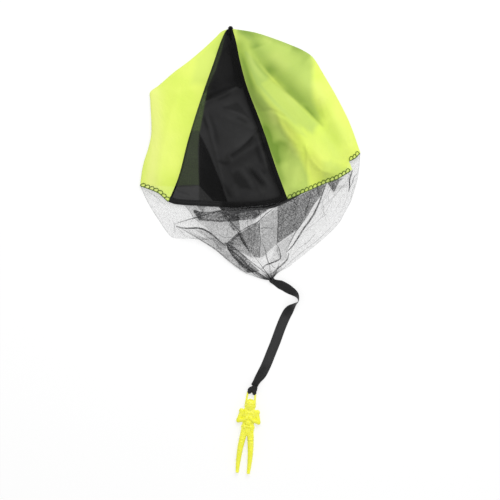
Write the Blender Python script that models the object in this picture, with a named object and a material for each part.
"""A toy paratrooper lying on a table: a four-gore cloth canopy with a gathered net skirt,
a flat ribbon with a half twist, and a moulded figure tied on by the ring over its head.

Metres, +Z up. The toy lies flat on z = 0, crown towards +Y and the figure's feet towards -Y,
with the middle of its footprint at the origin.
"""

import math

import bmesh
import bpy
from mathutils import Matrix, Vector

# Driving sizes of the canopy
CANOPY_WIDTH = 0.243
CANOPY_DROP = 0.1958
PUFF_HEIGHT = 0.017
CLOTH_THICKNESS = 0.0008
LAYER_GAP = 0.0018
EDGE_ROLL = 0.0016
CROWN_RADIUS = 0.0027
CROWN_HEIGHT = 0.0042

# Driving sizes of the net skirt
NET_DROP = 0.0842
NET_THREAD = 0.0008
NET_PLEAT = 0.0024
FRONT_NET_COLUMNS = (2, 8, 6)
BACK_NET_COLUMNS = (4, 2, 8, 2)
NET_COLUMNS = sum(FRONT_NET_COLUMNS)
NET_ROWS = 10
NET_PLEATS = 7
FAN_HEIGHT = 0.0040
FAN_END_WIDTH = 0.0042
FAN_PLEAT = 0.0006

# Driving sizes of the ribbon
RIBBON_WIDTH = 0.010
RIBBON_THICKNESS = 0.0006
RIBBON_DROP = 0.1219
GATHERED_WIDTH = 0.0052
GATHERED_THICKNESS = 0.0018
TIE_RADIUS = 0.0024
TIE_HEIGHT = 0.0050
FOLD_SETBACK = 0.0003

# Driving sizes of the figure
FIGURE_DROP = 0.0915
FIGURE_TILT = math.radians(6.3)
RING_BAR_RADIUS = 0.0011
RING_HALF_WIDTH = 0.0041
RING_HEIGHT = 0.0034
HELMET_HALF_WIDTH = 0.0057
HELMET_HALF_LENGTH = 0.0060
HELMET_HALF_DEPTH = 0.0045
HELMET_RIM = 0.0004
RING_TO_HELMET = 0.0082
TORSO_HALF_WIDTH = 0.0088
TORSO_HALF_DEPTH = 0.0041
ARM_RADIUS = 0.0025
LEG_RADIUS = 0.0036
HITCH_TOP_RADIUS = 0.0028
HITCH_HEIGHT = 0.0048
HITCH_LOOP_WIDTH = 0.0038
HITCH_LOOP_RADIUS = 0.0032

# Clearances
SEAM_GAP = 0.0004
TOUCH_GAP = 0.0003
HEM_GAP = 0.0013

# Derived places
LENGTH = CANOPY_DROP + NET_DROP + RIBBON_DROP + FIGURE_DROP
APEX_Y = LENGTH / 2
HEM_Y = APEX_Y - CANOPY_DROP
NECK_SHARE = 0.0995
NECK = Vector((NECK_SHARE * CANOPY_WIDTH, HEM_Y - NET_DROP, 0))
LAYER_HEIGHT = CLOTH_THICKNESS * 1.5 + LAYER_GAP

# Outlines of the canopy as laid: shares of its width from the middle, and of its drop
CROWN_SHARES = (-0.088, 0.0165)
LEFT_EDGE_SHARES = [
    (-0.24, 0.157),
    (-0.415, 0.338),
    (-0.451, 0.374),
    (-0.451, 0.42),
    (-0.446, 0.60),
    (-0.497, 0.893),
]
RIGHT_EDGE_SHARES = [
    (0.020, 0.039),
    (0.106, 0.073),
    (0.179, 0.107),
    (0.240, 0.140),
    (0.285, 0.180),
    (0.333, 0.275),
    (0.396, 0.410),
    (0.450, 0.545),
    (0.499, 0.713),
]
FRONT_LEFT_SEAM_SHARES = [
    (-0.165, 0.224),
    (-0.229, 0.449),
    (-0.278, 0.646),
    (-0.320, 0.848),
    (-0.362, 0.985),
]
FRONT_RIGHT_SEAM_SHARES = [
    (-0.048, 0.197),
    (-0.016, 0.343),
    (0.043, 0.528),
    (0.075, 0.646),
    (0.118, 0.82),
    (0.168, 0.972),
]
BACK_LEFT_SEAM_SHARES = [(-0.140, 0.21), (-0.190, 0.416), (-0.226, 0.618), (-0.230, 0.899)]
BACK_RIGHT_SEAM_SHARES = [(0.10, 0.30), (0.28, 0.62), (0.398, 0.860)]

# The hems between those ends, front and back, in the same shares
LEFT_HEM_SHARES = [(-0.415, 0.930), (-0.382, 0.966)]
FRONT_HEM_SHARES = [(-0.247, 1.000), (-0.124, 1.012), (0.0, 1.010), (0.093, 0.998)]
RIGHT_HEM_SHARES = [(0.278, 0.914), (0.342, 0.880), (0.396, 0.855), (0.455, 0.806)]
BACK_LEFT_HEM_SHARES = [(-0.42, 0.899), (-0.32, 0.905)]
BACK_STEP_SHARES = [(-0.124, 1.036)]
BACK_HEM_SHARES = [(0.0, 1.038), (0.093, 1.020), (0.183, 0.985), (0.30, 0.915)]
RIGHT_BACK_HEM_SHARES = [(0.46, 0.80)]

# Folds of the front layer: crests in the same shares, then a height share and a width share
FOLD_SHARES = [
    ([(-0.045, 0.13), (0.034, 0.348), (0.16, 0.517), (0.30, 0.719), (0.35, 0.80)], 1.0, 0.060),
    ([(0.05, 0.10), (0.17, 0.24), (0.27, 0.33)], 0.90, 0.085),
    ([(0.35, 0.42), (0.44, 0.68)], 0.55, 0.065),
    ([(0.22, 0.72), (0.20, 0.90)], 0.35, 0.040),
    ([(-0.26, 0.26), (-0.36, 0.52), (-0.40, 0.82)], 0.55, 0.110),
    ([(-0.10, 0.30), (-0.10, 0.62), (-0.06, 0.90)], 0.30, 0.090),
    ([(-0.06, 0.36), (-0.17, 0.41)], 0.16, 0.020),
    ([(0.05, 0.66), (-0.08, 0.76)], 0.18, 0.022),
]

# The net's side folds: shares of the canopy's width, and of the net's drop below the hem line
NET_LEFT_SHARES = [
    (-0.497, -0.235),
    (-0.464, -0.026),
    (-0.417, 0.197),
    (-0.35, 0.45),
    (-0.31, 0.485),
    (-0.235, 0.475),
    (-0.17, 0.60),
    (-0.104, 0.762),
    (-0.016, 0.909),
]
NET_RIGHT_SHARES = [
    (0.499, -0.66),
    (0.495, -0.32),
    (0.464, -0.026),
    (0.394, 0.268),
    (0.278, 0.563),
    (0.156, 0.830),
]
FAN_LEFT_SHARES = [(0.025, 0.955), (0.057, 0.985)]
FAN_RIGHT_SHARES = [(0.129, 0.896)]
FAN_DIRECTION = math.radians(-57)

# The ribbon's route from the net's neck to the ring, in shares of its drop
ROUTE_SHARES = [
    (0.020, 0.018),
    (0.085, 0.050),
    (0.151, 0.092),
    (0.212, 0.133),
    (0.238, 0.184),
    (0.209, 0.223),
    (0.171, 0.268),
    (0.128, 0.337),
    (0.081, 0.440),
    (0.042, 0.553),
    (0.000, 0.660),
    (-0.042, 0.764),
    (-0.081, 0.836),
    (-0.121, 0.888),
    (-0.160, 0.950),
]
RING_SHARES = (-0.183, 1.0)
TWIST_POINT = 4
LIFT_POINT = 12

# How far the ribbon is rolled about its length, in degrees, by share of its route
ROLL_SHARES = [
    (0.0, 50),
    (0.10, 28),
    (0.20, 62),
    (0.235, 88),
    (0.262, 92),
    (0.30, 118),
    (0.36, 168),
    (0.42, 180),
    (1.0, 180),
]

# Steps of the meshes
FOLD_STEPS = 12
ROW_STEPS = 20
LIME_STEPS = 9
WIDE_LIME_STEPS = 12
BACK_STEPS = 5
BACK_HEM_STEPS = (3, 9)
BLACK_STEPS = sum(BACK_HEM_STEPS)
FAN_STEPS = 14
ROUND_STEPS = 20
LIMB_SIDES = 14
CAP_STEPS = 4

COLOURS = {
    "lime_cloth": ((0.66, 0.92, 0.13, 1), 0.55, 0.0),
    "black_cloth": ((0.02, 0.02, 0.022, 1), 0.6, 0.0),
    "black_net": ((0.03, 0.03, 0.03, 1), 0.7, 0.0),
    "black_ribbon": ((0.035, 0.035, 0.036, 1), 0.5, 0.0),
    "yellow_plastic": ((0.95, 0.93, 0.05, 1), 0.35, 0.0),
}


def clear_scene():
    for old in list(bpy.data.objects):
        bpy.data.objects.remove(old, do_unlink=True)


def material(slot):
    found = bpy.data.materials.get(slot)
    if found:
        return found
    colour, roughness, metallic = COLOURS[slot]
    made = bpy.data.materials.new(slot)
    made.use_nodes = True
    shader = made.node_tree.nodes["Principled BSDF"]
    shader.inputs["Base Color"].default_value = colour
    shader.inputs["Roughness"].default_value = roughness
    shader.inputs["Metallic"].default_value = metallic
    return made


def add_object(name, points, faces, slot=None):
    mesh = bpy.data.meshes.new(name)
    mesh.from_pydata([tuple(point) for point in points], [], faces)
    mesh.validate()
    outward = bmesh.new()
    outward.from_mesh(mesh)
    bmesh.ops.recalc_face_normals(outward, faces=outward.faces)
    outward.to_mesh(mesh)
    outward.free()
    mesh.shade_smooth()
    made = bpy.data.objects.new(name, mesh)
    bpy.context.scene.collection.objects.link(made)
    if slot:
        mesh.materials.append(material(slot))
    return made


def hide_helper(helper):
    helper.hide_render = True
    helper.display_type = "WIRE"


def combine(target, helper, operation):
    cut = target.modifiers.new(operation.lower(), "BOOLEAN")
    cut.operation = operation
    cut.solver = "EXACT"
    cut.object = helper
    helper.parent = target
    hide_helper(helper)


def add_pivot(name, place, nodes, carrier=None):
    """An empty on a joint's axis that carries these nodes, on the pivot before it."""
    pivot = bpy.data.objects.new(name, None)
    bpy.context.scene.collection.objects.link(pivot)
    pivot.location = place
    if carrier:
        hang(pivot, carrier)
    bpy.context.view_layer.update()
    for node in nodes:
        hang(bpy.data.objects[node], pivot)
    return pivot


def hang(child, carrier):
    child.parent = carrier
    child.matrix_parent_inverse = carrier.matrix_world.inverted()


def laid(share):
    """A place on the canopy from its shares of width and drop."""
    return Vector((share[0] * CANOPY_WIDTH, APEX_Y - share[1] * CANOPY_DROP, 0))


def netted(share):
    """A place on the net skirt from its shares of the canopy's width and of the net's drop."""
    return Vector((share[0] * CANOPY_WIDTH, HEM_Y - share[1] * NET_DROP, 0))


def routed(share):
    """A place on the ribbon's route from its shares of the ribbon's drop."""
    return NECK + Vector((share[0] * RIBBON_DROP, -share[1] * RIBBON_DROP, 0))


class Path:
    """A smooth curve through points, read by its share of their length."""

    def __init__(self, points):
        self.points = points
        self.reach = [0]
        for before, after in zip(points, points[1:]):
            self.reach.append(self.reach[-1] + (after - before).length)
        self.length = self.reach[-1]

    def slope(self, index):
        low = max(index - 1, 0)
        high = min(index + 1, len(self.points) - 1)
        return (self.points[high] - self.points[low]) / (self.reach[high] - self.reach[low])

    def at(self, share):
        reach = min(max(share, 0), 1) * self.length
        index = 0
        while index < len(self.points) - 2 and self.reach[index + 1] < reach:
            index += 1
        span = self.reach[index + 1] - self.reach[index]
        t = (reach - self.reach[index]) / span
        leaving = self.slope(index) * span * (t**3 - 2 * t**2 + t)
        arriving = self.slope(index + 1) * span * (t**3 - t**2)
        start = self.points[index] * (2 * t**3 - 3 * t**2 + 1)
        return start + leaving + self.points[index + 1] * (3 * t**2 - 2 * t**3) + arriving

    def direction(self, share):
        small = 0.002
        return (self.at(share + small) - self.at(share - small)).normalized()

    def share_of(self, index):
        return self.reach[index] / self.length

    def turned_back(self):
        return Path(self.points[::-1])


class Chain:
    """Edges joined end to end, each read over its own count of steps, a set distance outside them."""

    def __init__(self, paths, counts, outside=0):
        self.paths = paths
        self.counts = counts
        self.outside = outside

    def at(self, share):
        step = min(max(share, 0), 1) * sum(self.counts)
        index = 0
        while index < len(self.paths) - 1 and step > self.counts[index]:
            step -= self.counts[index]
            index += 1
        path = self.paths[index]
        local = step / self.counts[index]
        along = path.direction(min(max(local, 0.01), 0.99))
        return path.at(local) + Vector((along.y, -along.x, 0)) * self.outside


def patch(left, right, top, bottom, across, down):
    """A point of the sheet between four edge curves, across from left to right and down from top
    to bottom."""
    sides = left.at(down) * (1 - across) + right.at(down) * across
    ends = top.at(across) * (1 - down) + bottom.at(across) * down
    corners = (top.at(0) * (1 - across) + top.at(1) * across) * (1 - down)
    corners += (bottom.at(0) * (1 - across) + bottom.at(1) * across) * down
    return sides + ends - corners


def distance_to(point, crest):
    best = None
    for start, end in zip(crest, crest[1:]):
        along = end - start
        t = min(max((point - start).dot(along) / along.length_squared, 0), 1)
        far = (start + along * t - point).length
        best = far if best is None else min(best, far)
    return best


def crest_line(shares):
    """A fold's crest as a smooth run of places."""
    path = Path([laid(share) for share in shares])
    return [path.at(step / FOLD_STEPS) for step in range(FOLD_STEPS + 1)]


FOLDS = [(crest_line(crest), height, width) for crest, height, width in FOLD_SHARES]


def front_height(place):
    """Height of the front layer's middle over a place, with its folds fading out at the crown."""
    flat = Vector((place.x, place.y, 0))
    from_crown = (flat - laid(CROWN_SHARES)).length / CANOPY_DROP
    fade = min(from_crown / 0.35, 1)
    fade = fade * fade * (3 - 2 * fade)
    lift = 0
    for crest, height, width in FOLDS:
        lift += height * math.exp(-((distance_to(flat, crest) / (width * CANOPY_WIDTH)) ** 2))
    return LAYER_HEIGHT + fade * PUFF_HEIGHT * lift


def from_crown(shares):
    """An edge of a gore: it starts on the crown's rim, in the direction of its next point."""
    points = [laid(share) for share in shares]
    crown = laid(CROWN_SHARES)
    start = (points[0] - crown).normalized() * (CROWN_RADIUS + SEAM_GAP)
    return Path([crown + start] + points)


def shifted(path, towards, amount):
    """The same edge moved sideways by an amount, to the left of its run when towards is 1."""
    moved = []
    for index, point in enumerate(path.points):
        slope = path.slope(index).normalized()
        moved.append(point + Vector((-slope.y, slope.x, 0)) * towards * amount)
    return Path(moved)


def line(start, end):
    return Path([start, end])


def through(start, shares, end, place=laid):
    return Path([start] + [place(share) for share in shares] + [end])


def grid_faces(columns, rows):
    faces = []
    for row in range(rows):
        for column in range(columns):
            first = row * (columns + 1) + column
            faces.append((first, first + 1, first + columns + 2, first + columns + 1))
    return faces


def cloth(name, rows, slot):
    """A sheet of cloth from rows of points, given its thickness evenly on both sides."""
    columns = len(rows[0]) - 1
    points = [point for row in rows for point in row]
    made = add_object(name, points, grid_faces(columns, len(rows) - 1), slot)
    wall = made.modifiers.new("thickness", "SOLIDIFY")
    wall.thickness = CLOTH_THICKNESS
    wall.offset = 0
    wall.use_even_offset = True
    return made


def wrapped_gore(name, front, edge, back, front_hem, back_hem, steps):
    """A gore that runs from its front seam to the side, round the fold and under to its back seam."""
    rim_front = line(front.at(0), edge.at(0))
    rim_back = line(edge.at(0), back.at(0))
    flat = CLOTH_THICKNESS / 2
    rows = []
    for row in range(ROW_STEPS + 1):
        down = row / ROW_STEPS
        roll = flat + EDGE_ROLL
        points = []
        for step in range(steps + 1):
            turn = step / steps * math.pi / 2
            place = patch(front, edge, rim_front, front_hem, math.sin(turn), down)
            place.z = roll + (front_height(place) - roll) * math.sqrt(abs(math.cos(turn)))
            points.append(place)
        points[-1].z = roll
        for step in range(1, BACK_STEPS + 1):
            turn = step / BACK_STEPS * math.pi / 2
            place = patch(edge, back, rim_back, back_hem, 1 - math.cos(turn), down)
            place.z = flat + EDGE_ROLL * (1 - math.sin(turn)) ** 2
            points.append(place)
        rows.append(points)
    return cloth(name, rows, "lime_cloth")


def flat_gore(name, left, right, hem, steps, height):
    """A black gore between two seams; height gives the level of its middle over each place."""
    rim = line(left.at(0), right.at(0))
    rows = []
    for row in range(ROW_STEPS + 1):
        points = []
        for step in range(steps + 1):
            place = patch(left, right, rim, hem, step / steps, row / ROW_STEPS)
            place.z = height(place)
            points.append(place)
        rows.append(points)
    return cloth(name, rows, "black_cloth")


def turned(name, profile, centre, slot, steps=ROUND_STEPS):
    """A solid turned about an upright axis from (radius, height) points, lowest first."""
    points = []
    faces = []
    for radius, height in profile:
        for step in range(steps):
            turn = step / steps * 2 * math.pi
            points.append(centre + Vector((radius * math.cos(turn), radius * math.sin(turn), height)))
    for ring in range(len(profile) - 1):
        for step in range(steps):
            after = (step + 1) % steps
            low = ring * steps
            faces.append((low + step, low + after, low + steps + after, low + steps + step))
    faces.append(tuple(range(steps))[::-1])
    last = (len(profile) - 1) * steps
    faces.append(tuple(last + step for step in range(steps)))
    return add_object(name, points, faces, slot)


def pillow_profile(radius, height):
    """The side of a soft round lump, flat underneath."""
    flat_share = 0.80
    bulge_share = 0.45
    shoulder_share = 0.85
    crest_share = 0.55
    return [
        (radius * flat_share, 0),
        (radius, height * bulge_share),
        (radius * shoulder_share, height * shoulder_share),
        (radius * crest_share, height),
    ]


def make_canopy():
    """The four gores and their crown. It gives back the front and back hems, from left to right."""
    left_edge = from_crown(LEFT_EDGE_SHARES)
    right_edge = from_crown(RIGHT_EDGE_SHARES)
    front_left = from_crown(FRONT_LEFT_SEAM_SHARES)
    front_right = from_crown(FRONT_RIGHT_SEAM_SHARES)
    back_left = from_crown(BACK_LEFT_SEAM_SHARES)
    back_right = from_crown(BACK_RIGHT_SEAM_SHARES)
    half = SEAM_GAP / 2
    black_left = shifted(front_left, 1, half)
    black_right = shifted(front_right, -1, half)
    front_hem = through(black_left.at(1), FRONT_HEM_SHARES, black_right.at(1))
    flat_gore("front_black_gore", black_left, black_right, front_hem, BLACK_STEPS, front_height)
    lime_left = shifted(front_left, -1, half)
    under_left = shifted(back_left, -1, half)
    left_hem = through(left_edge.at(1), LEFT_HEM_SHARES, lime_left.at(1))
    under_left_hem = through(left_edge.at(1), BACK_LEFT_HEM_SHARES, under_left.at(1))
    wrapped_gore(
        "left_lime_gore",
        lime_left,
        left_edge,
        under_left,
        left_hem.turned_back(),
        under_left_hem,
        LIME_STEPS,
    )
    lime_right = shifted(front_right, 1, half)
    under_right = shifted(back_right, 1, half)
    right_hem = through(lime_right.at(1), RIGHT_HEM_SHARES, right_edge.at(1))
    under_right_hem = through(right_edge.at(1), RIGHT_BACK_HEM_SHARES, under_right.at(1))
    wrapped_gore(
        "right_lime_gore",
        lime_right,
        right_edge,
        under_right,
        right_hem,
        under_right_hem,
        WIDE_LIME_STEPS,
    )
    under_black_left = shifted(back_left, 1, half)
    under_black_right = shifted(back_right, -1, half)
    back_corner = laid(BACK_STEP_SHARES[0])
    back_step = line(under_black_left.at(1), back_corner)
    back_hem = through(back_corner, BACK_HEM_SHARES, under_black_right.at(1))
    flat_gore(
        "back_black_gore",
        under_black_left,
        under_black_right,
        Chain([back_step, back_hem], BACK_HEM_STEPS),
        BLACK_STEPS,
        lambda place: CLOTH_THICKNESS / 2,
    )
    pillow = pillow_profile(CROWN_RADIUS, CROWN_HEIGHT)
    turned("crown_tack", pillow, laid(CROWN_SHARES), "black_cloth")
    front_hems = [left_hem, front_hem, right_hem]
    back_hems = [under_left_hem, back_step, back_hem, under_right_hem.turned_back()]
    return front_hems, back_hems


def net_sheet(name, left, right, hem, end, height):
    """A net of diamonds between four edges, each thread with the same thickness."""
    points = []
    places = {}
    for row in range(NET_ROWS + 1):
        for column in range(NET_COLUMNS + 1):
            on_edge = row in (0, NET_ROWS) or column in (0, NET_COLUMNS)
            if (row + column) % 2 and not on_edge:
                continue
            across = column / NET_COLUMNS
            down = row / NET_ROWS
            place = patch(left, right, hem, end, across, down)
            place.z = height(across, down, place)
            places[column, row] = len(points)
            points.append(place)
    faces = []
    for row in range(NET_ROWS + 1):
        for column in range(NET_COLUMNS + 1):
            if (row + column) % 2 == 0:
                continue
            around = [(column - 1, row), (column, row - 1), (column + 1, row), (column, row + 1)]
            corners = [corner if corner in places else (column, row) for corner in around]
            faces.append([places[corner] for corner in corners])
    made = add_object(name, points, faces, "black_net")
    strands = made.modifiers.new("threads", "WIREFRAME")
    strands.thickness = NET_THREAD
    strands.use_even_offset = False
    strands.use_relative_offset = False
    strands.use_boundary = True
    strands.use_replace = True
    return made


def make_net(front_hems, back_hems):
    """The net skirt's two layers, sewn on along the hems, and its gathered neck."""
    left = shifted(Path([netted(share) for share in NET_LEFT_SHARES]), 1, NET_THREAD)
    right = shifted(Path([netted(share) for share in NET_RIGHT_SHARES]), -1, NET_THREAD)
    front_hem = Chain(front_hems, FRONT_NET_COLUMNS, HEM_GAP)
    back_hem = Chain(back_hems, BACK_NET_COLUMNS, HEM_GAP)
    end = line(left.at(1), right.at(1))
    edge_level = NET_THREAD / 2 + CLOTH_THICKNESS + TOUCH_GAP
    end_level = FAN_HEIGHT * 0.6

    def front_level(across, down, place):
        bulge = math.sqrt(max(1 - abs(2 * across - 1) ** 6, 0))
        top = front_height(place) * (1 - down) + end_level * down
        wave = 1 + math.sin(across * NET_PLEATS * 2 * math.pi)
        pleat = NET_PLEAT * math.sin(down * math.pi) * wave
        return edge_level + (top - edge_level + pleat) * bulge

    def back_level(across, down, place):
        return NET_THREAD / 2

    for name, hem, level in (
        ("net_skirt_front", front_hem, front_level),
        ("net_skirt_back", back_hem, back_level),
    ):
        from_left = Path([hem.at(0)] + left.points[1:])
        from_right = Path([hem.at(1)] + right.points[1:])
        net_sheet(name, from_left, from_right, hem, end, level)
    make_fan(end)


def make_fan(start):
    """The net's gathered neck: pleats that run together into the ribbon's tie."""
    along = Vector((math.cos(FAN_DIRECTION), math.sin(FAN_DIRECTION), 0))
    side = Vector((-along.y, along.x, 0))
    middle = NECK - along * (TIE_RADIUS + TOUCH_GAP)
    half = FAN_END_WIDTH / 2
    begin = Vector((0, HEM_GAP, 0))
    first = Path([point - begin for point in start.points])
    left = Path([first.at(0)] + [netted(share) for share in FAN_LEFT_SHARES] + [middle - side * half])
    right = Path([first.at(1)] + [netted(share) for share in FAN_RIGHT_SHARES] + [middle + side * half])
    last = line(left.at(1), right.at(1))
    rows = CAP_STEPS + 1
    points = []
    for level in (0, 1):
        for row in range(rows + 1):
            down = row / rows
            for step in range(FAN_STEPS + 1):
                across = step / FAN_STEPS
                place = patch(left, right, first, last, across, down)
                crest = FAN_HEIGHT * (0.6 + 0.4 * down)
                pleat = FAN_PLEAT * math.cos(across * NET_PLEATS * 2 * math.pi) * (1 - down)
                edge = 1 - 0.5 * abs(2 * across - 1) ** 4
                place.z = level * (crest + pleat) * edge
                points.append(place)
    columns = FAN_STEPS + 1
    upper = (rows + 1) * columns
    faces = [face[::-1] for face in grid_faces(FAN_STEPS, rows)]
    faces += [tuple(upper + corner for corner in face) for face in grid_faces(FAN_STEPS, rows)]
    rim = list(range(columns))
    rim += [row * columns + FAN_STEPS for row in range(1, rows + 1)]
    rim += [rows * columns + step for step in range(FAN_STEPS - 1, -1, -1)]
    rim += [row * columns for row in range(rows - 1, 0, -1)]
    for here, after in zip(rim, rim[1:] + rim[:1]):
        faces.append((here, after, upper + after, upper + here))
    add_object("net_neck", points, faces, "black_net")


def between(table, share):
    """The value at a share, read from rows of (share, value) with an even change between rows."""
    for (low, first), (high, second) in zip(table, table[1:]):
        if share <= high:
            return first + (second - first) * (share - low) / (high - low)
    return table[-1][1]


def tape(name, route, start, end, steps):
    """A run of flat ribbon along its route, rolled about its middle line and resting on the table."""
    points = []
    for step in range(steps + 1):
        share = start + (end - start) * step / steps
        roll = math.radians(between(ROLL_SHARES, share))
        along = route.direction(share)
        side = Vector((-along.y, along.x, 0)).normalized()
        up = Vector((0, 0, 1))
        width = side * math.cos(roll) + up * math.sin(roll)
        through_it = up * math.cos(roll) - side * math.sin(roll)
        half_width = ribbon_half_width(share)
        half_thick = RIBBON_THICKNESS / 2
        centre = route.at(share)
        centre.z = abs(width.z) * half_width + abs(through_it.z) * half_thick
        for far, high in ((-1, -1), (1, -1), (1, 1), (-1, 1)):
            points.append(centre + width * half_width * far + through_it * half_thick * high)
    faces = [(3, 2, 1, 0), tuple(4 * steps + corner for corner in range(4))]
    for step in range(steps):
        for corner in range(4):
            after = (corner + 1) % 4
            low = 4 * step
            faces.append((low + corner, low + after, low + 4 + after, low + 4 + corner))
    made = add_object(name, points, faces, "black_ribbon")
    made.data.set_sharp_from_angle(angle=math.radians(40))
    return made


def ribbon_half_width(share):
    """Half the ribbon's width, which is drawn in where it is folded on to the net's neck."""
    draw_in = min(share / 0.06, 1)
    return RIBBON_WIDTH / 2 * (0.72 + 0.28 * draw_in)


def make_ribbon(route):
    turned("ribbon_tie", pillow_profile(TIE_RADIUS, TIE_HEIGHT), NECK, "black_ribbon")
    begin = (TIE_RADIUS + TOUCH_GAP - (route.at(0) - NECK).length) / route.length
    twist = route.share_of(TWIST_POINT)
    lift = route.share_of(LIFT_POINT)
    setback = FOLD_SETBACK / route.length
    half_gap = TOUCH_GAP / 2 / route.length
    tape("ribbon_upper_run", route, begin, twist - setback, ROUND_STEPS + 2)
    tape("ribbon_lower_run", route, twist + setback, lift - half_gap, ROUND_STEPS * 2)
    make_gathered_end(route, lift + half_gap)


def add_pivots(route):
    """The joints' axes, each carried by the one before it, from the net's neck to the figure."""
    neck = add_pivot("neck_swing", NECK, ["ribbon_tie", "ribbon_upper_run"])
    fold = add_pivot("ribbon_fold", route.points[TWIST_POINT], ["ribbon_lower_run"], neck)
    lift = add_pivot("ribbon_lift", route.points[LIFT_POINT], ["ribbon_gathered_end"], fold)
    add_pivot("figure_swing", swing_place(), ["ribbon_hitch", "figure"], lift)


def place_in_figure(x, y, z):
    """A place in the figure's own frame, which has the ring's bar at its origin, put in the world."""
    turned_by = Matrix.Rotation(-FIGURE_TILT, 4, "Z")
    return routed(RING_SHARES) + turned_by @ Vector((x, y, z))


def swing_place():
    """The upright axis in the hitch's round top."""
    return place_in_figure(HITCH_TOP_RADIUS * 0.65, HITCH_TOP_RADIUS * 1.65, 0)


def make_gathered_end(route, start):
    """The last stretch of ribbon, drawn together into a soft cord that climbs to the hitch."""
    swing = swing_place()
    first = route.at(start)
    ahead = route.direction(start)
    to_swing = (swing - route.at(1)).normalized()
    last = swing - to_swing * (HITCH_TOP_RADIUS + TOUCH_GAP)
    bend = route.at(start + (1 - start) * 0.55)
    stretch = Path([first, first + ahead * RIBBON_WIDTH / 4, bend, last])
    climb = HITCH_HEIGHT * 0.45
    steps = CAP_STEPS * 3
    sides = LIMB_SIDES - 4
    points = []
    for step in range(steps + 1):
        share = step / steps
        gather = min(share / 0.6, 1)
        gather = gather * gather * (3 - 2 * gather)
        half_width = (RIBBON_WIDTH * (1 - gather) + GATHERED_WIDTH * gather) / 2
        half_thick = (RIBBON_THICKNESS * (1 - gather) + GATHERED_THICKNESS * gather) / 2
        along = stretch.direction(share) if 0 < share < 1 else (ahead if share == 0 else to_swing)
        side = Vector((-along.y, along.x, 0)).normalized()
        centre = stretch.at(share)
        centre.z = half_thick + climb * gather
        for corner in range(sides):
            turn = (corner + 0.5) / sides * 2 * math.pi
            across = math.copysign(abs(math.cos(turn)) ** 0.6, math.cos(turn))
            high = math.copysign(abs(math.sin(turn)) ** 0.6, math.sin(turn))
            points.append(centre + side * half_width * across + Vector((0, 0, half_thick * high)))
    faces = [tuple(range(sides))[::-1], tuple(sides * steps + corner for corner in range(sides))]
    for step in range(steps):
        for corner in range(sides):
            after = (corner + 1) % sides
            low = sides * step
            faces.append((low + corner, low + after, low + sides + after, low + sides + corner))
    add_object("ribbon_gathered_end", points, faces, "black_ribbon")


def limb_rings(path, radii):
    """Rings of points round a limb's middle line, with domed ends."""
    route = Path([Vector(point) for point in path])
    table = [(route.share_of(index), radius) for index, radius in enumerate(radii)]
    rings = []
    for step in range(CAP_STEPS):
        turn = (step + 0.5) / CAP_STEPS * math.pi / 2
        rings.append((0, -math.cos(turn), math.sin(turn)))
    body_steps = 2 * (len(path) - 1)
    for step in range(body_steps + 1):
        rings.append((step / body_steps, 0, 1))
    for step in range(CAP_STEPS):
        turn = (CAP_STEPS - step - 0.5) / CAP_STEPS * math.pi / 2
        rings.append((1, math.cos(turn), math.sin(turn)))
    made = []
    up = Vector((0, 0, 1))
    for share, dome, swell in rings:
        along = route.direction(min(max(share, 0.003), 0.997))
        side = along.cross(up).normalized()
        lift = side.cross(along).normalized()
        radius = between(table, share)
        centre = route.at(share) + along * dome * radius
        ring = []
        for corner in range(LIMB_SIDES):
            turn = corner / LIMB_SIDES * 2 * math.pi
            ring.append(centre + (side * math.cos(turn) + lift * math.sin(turn)) * radius * swell)
        made.append(ring)
    return made


def loft(name, rings, slot=None):
    """A closed solid through rings of points, each with the same count."""
    sides = len(rings[0])
    points = [point for ring in rings for point in ring]
    last = (len(rings) - 1) * sides
    faces = [tuple(range(sides))[::-1], tuple(last + corner for corner in range(sides))]
    for index in range(len(rings) - 1):
        for corner in range(sides):
            after = (corner + 1) % sides
            low = index * sides
            faces.append((low + corner, low + after, low + sides + after, low + sides + corner))
    return add_object(name, points, faces, slot)


def figure_loft(name, sections, slot=None, sides=ROUND_STEPS):
    """A solid through upright ovals across the figure, from rows of its y, half width, half depth
    and middle height."""
    rings = []
    for y, half_width, half_depth, middle in sections:
        ring = []
        for corner in range(sides):
            turn = corner / sides * 2 * math.pi
            across = math.copysign(abs(math.cos(turn)) ** 0.85, math.cos(turn))
            ring.append(place_in_figure(half_width * across, y, middle + half_depth * math.sin(turn)))
        rings.append(ring)
    return loft(name, rings, slot)


def ring_path():
    """The ring's middle line: up one side, across the bar and down the other, with round corners."""
    foot = -(RING_TO_HELMET + HELMET_HALF_LENGTH * 0.7)
    spread = HELMET_HALF_WIDTH * 0.86
    corner = RING_HALF_WIDTH * 0.45
    steps = CAP_STEPS
    line_points = [(-spread, foot)]
    for side in (-1, 1):
        arc = []
        for step in range(steps + 1):
            turn = step / steps * math.pi / 2
            x = RING_HALF_WIDTH - corner + corner * math.cos(turn)
            y = -corner + corner * math.sin(turn)
            arc.append((side * x, y))
        line_points += arc if side < 0 else arc[::-1]
    line_points.append((spread, foot))
    return line_points


def ring_tube(name, radius):
    """A round tube along the ring's middle line, its feet inside the helmet."""
    line_points = ring_path()
    rings = []
    for index, (x, y) in enumerate(line_points):
        before = Vector(line_points[max(index - 1, 0)])
        after = Vector(line_points[min(index + 1, len(line_points) - 1)])
        along = (after - before).normalized()
        ring = []
        for corner in range(LIMB_SIDES - 4):
            turn = corner / (LIMB_SIDES - 4) * 2 * math.pi
            out = Vector((-along.y, along.x)) * math.cos(turn) * radius
            ring.append(place_in_figure(x + out.x, y + out.y, RING_HEIGHT + math.sin(turn) * radius))
        rings.append(ring)
    return loft(name, rings)


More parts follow.
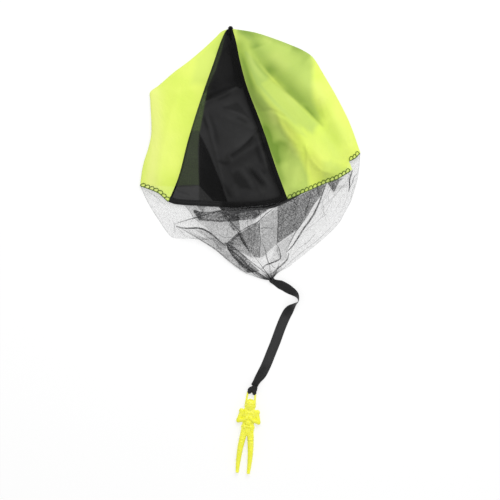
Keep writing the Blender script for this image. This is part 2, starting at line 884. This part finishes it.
def make_figure():
    top = -RING_TO_HELMET
    helmet_middle = top - HELMET_HALF_LENGTH
    domes = []
    steps = CAP_STEPS * 3
    for step in range(steps + 1):
        turn = math.pi * (step + 0.15) / (steps + 0.3)
        swell = math.sin(turn)
        rim = HELMET_RIM if step in (steps // 2 + 1, steps // 2 + 2) else 0
        domes.append(
            (
                helmet_middle + HELMET_HALF_LENGTH * math.cos(turn),
                HELMET_HALF_WIDTH * swell + rim,
                (HELMET_HALF_DEPTH + rim) * swell,
                HELMET_HALF_DEPTH + HELMET_RIM,
            )
        )
    figure = figure_loft("figure", domes, "yellow_plastic")
    wide = TORSO_HALF_WIDTH
    deep = TORSO_HALF_DEPTH
    neck = helmet_middle - HELMET_HALF_LENGTH * 0.62
    hips = -FIGURE_DROP * 0.50
    span = neck - hips
    torso_shares = [
        (-0.02, 0.50, 0.62),
        (0.05, 0.66, 0.75),
        (0.09, 0.92, 0.84),
        (0.14, 1.04, 0.92),
        (0.22, 1.05, 0.98),
        (0.34, 0.95, 1.0),
        (0.50, 0.80, 0.97),
        (0.66, 0.72, 0.90),
        (0.70, 0.72, 0.90),
        (0.71, 0.76, 0.98),
        (0.78, 0.77, 0.98),
        (0.79, 0.74, 0.92),
        (0.90, 0.82, 0.95),
        (1.0, 0.82, 0.93),
        (1.08, 0.72, 0.80),
        (1.13, 0.50, 0.60),
    ]
    torso = figure_loft(
        "torso_helper",
        [(neck - span * down, wide * width, deep * depth, deep) for down, width, depth in torso_shares],
    )
    combine(figure, torso, "UNION")
    ring = ring_tube("ring_helper", RING_BAR_RADIUS)
    combine(figure, ring, "UNION")
    shoulder_y = neck - span * 0.19
    elbow_y = neck - span * 0.55
    for side in (-1, 1):
        name = "left" if side < 0 else "right"
        shoulder = place_in_figure(side * wide * 0.92, shoulder_y, deep * 1.02)
        elbow = place_in_figure(side * wide * 1.26, elbow_y, deep * 1.0)
        thick = [ARM_RADIUS * 1.05, ARM_RADIUS]
        arm = loft(name + "_arm_helper", limb_rings([shoulder, elbow], thick))
        combine(figure, arm, "UNION")
        wrist = place_in_figure(side * wide * 0.42, neck - span * 0.47, deep * 1.95)
        hand = place_in_figure(side * wide * 0.26, neck - span * 0.40, deep * 2.0)
        forearm = loft(
            name + "_forearm_helper",
            limb_rings([elbow, wrist, hand], [ARM_RADIUS * 0.98, ARM_RADIUS * 0.72, ARM_RADIUS * 0.66]),
        )
        combine(figure, forearm, "UNION")
        hip = place_in_figure(side * wide * 0.44, hips - LEG_RADIUS * 0.5, deep * 0.98)
        knee = place_in_figure(side * wide * 0.66, -FIGURE_DROP * 0.70, deep * 1.12)
        ankle = place_in_figure(side * wide * 0.72, -FIGURE_DROP * 0.90, deep * 0.78)
        toe = place_in_figure(side * wide * 0.69, -FIGURE_DROP * 0.972, deep * 0.92)
        leg = loft(
            name + "_leg_helper",
            limb_rings(
                [hip, knee, ankle, toe],
                [LEG_RADIUS * 1.04, LEG_RADIUS * 0.90, LEG_RADIUS * 0.63, LEG_RADIUS * 0.52],
            ),
        )
        combine(figure, leg, "UNION")
    pack_y = neck - span * 0.60
    pack_half = span * 0.075
    pack_shares = [(1.0, 0.26, 0.24), (0.8, 0.34, 0.34), (-0.8, 0.34, 0.34), (-1.0, 0.26, 0.24)]
    pack_rows = []
    for up, width, depth in pack_shares:
        pack_rows.append((pack_y + pack_half * up, wide * width, deep * depth, deep * 1.88))
    combine(figure, figure_loft("chest_pack_helper", pack_rows), "UNION")
    return figure


def make_hitch():
    """The ribbon's hitch: a round top, and a full knot with two loops round the ring's bar."""
    swing = swing_place()
    top_base = Vector((swing.x, swing.y, HITCH_HEIGHT * 0.28))
    pillow = pillow_profile(HITCH_TOP_RADIUS, HITCH_HEIGHT)
    hitch = turned("ribbon_hitch", pillow, top_base, "black_ribbon")
    reach = RING_HALF_WIDTH * 0.62
    for side in (-1, 1):
        name = "left" if side < 0 else "right"
        rings = []
        for step in range(5):
            across = (step / 4 - 0.5) * HITCH_LOOP_WIDTH
            swell = math.sqrt(1 - (step / 4 * 1.5 - 0.75) ** 2)
            ring = []
            for corner in range(LIMB_SIDES):
                turn = corner / LIMB_SIDES * 2 * math.pi
                ring.append(
                    place_in_figure(
                        side * reach + across,
                        HITCH_LOOP_RADIUS * swell * math.cos(turn),
                        RING_HEIGHT + HITCH_LOOP_RADIUS * 0.95 * swell * math.sin(turn),
                    )
                )
            rings.append(ring)
        loop = loft(name + "_loop_helper", rings)
        combine(hitch, loop, "UNION")
    crossing = HITCH_LOOP_RADIUS * 0.75
    top = HITCH_TOP_RADIUS
    saddle = [
        place_in_figure(-reach * 0.9, HITCH_LOOP_RADIUS * 0.47, RING_HEIGHT),
        place_in_figure(top * 0.78, top * 0.85, RING_HEIGHT),
    ]
    bridge = loft("bridge_helper", limb_rings(saddle, [crossing, crossing]))
    combine(hitch, bridge, "UNION")
    passage = ring_tube("ring_passage_helper", RING_BAR_RADIUS + TOUCH_GAP)
    combine(hitch, passage, "DIFFERENCE")
    return hitch


def main():
    clear_scene()
    front_hems, back_hems = make_canopy()
    make_net(front_hems, back_hems)
    route = Path([routed(share) for share in ROUTE_SHARES])
    make_ribbon(route)
    make_figure()
    make_hitch()
    add_pivots(route)


main()
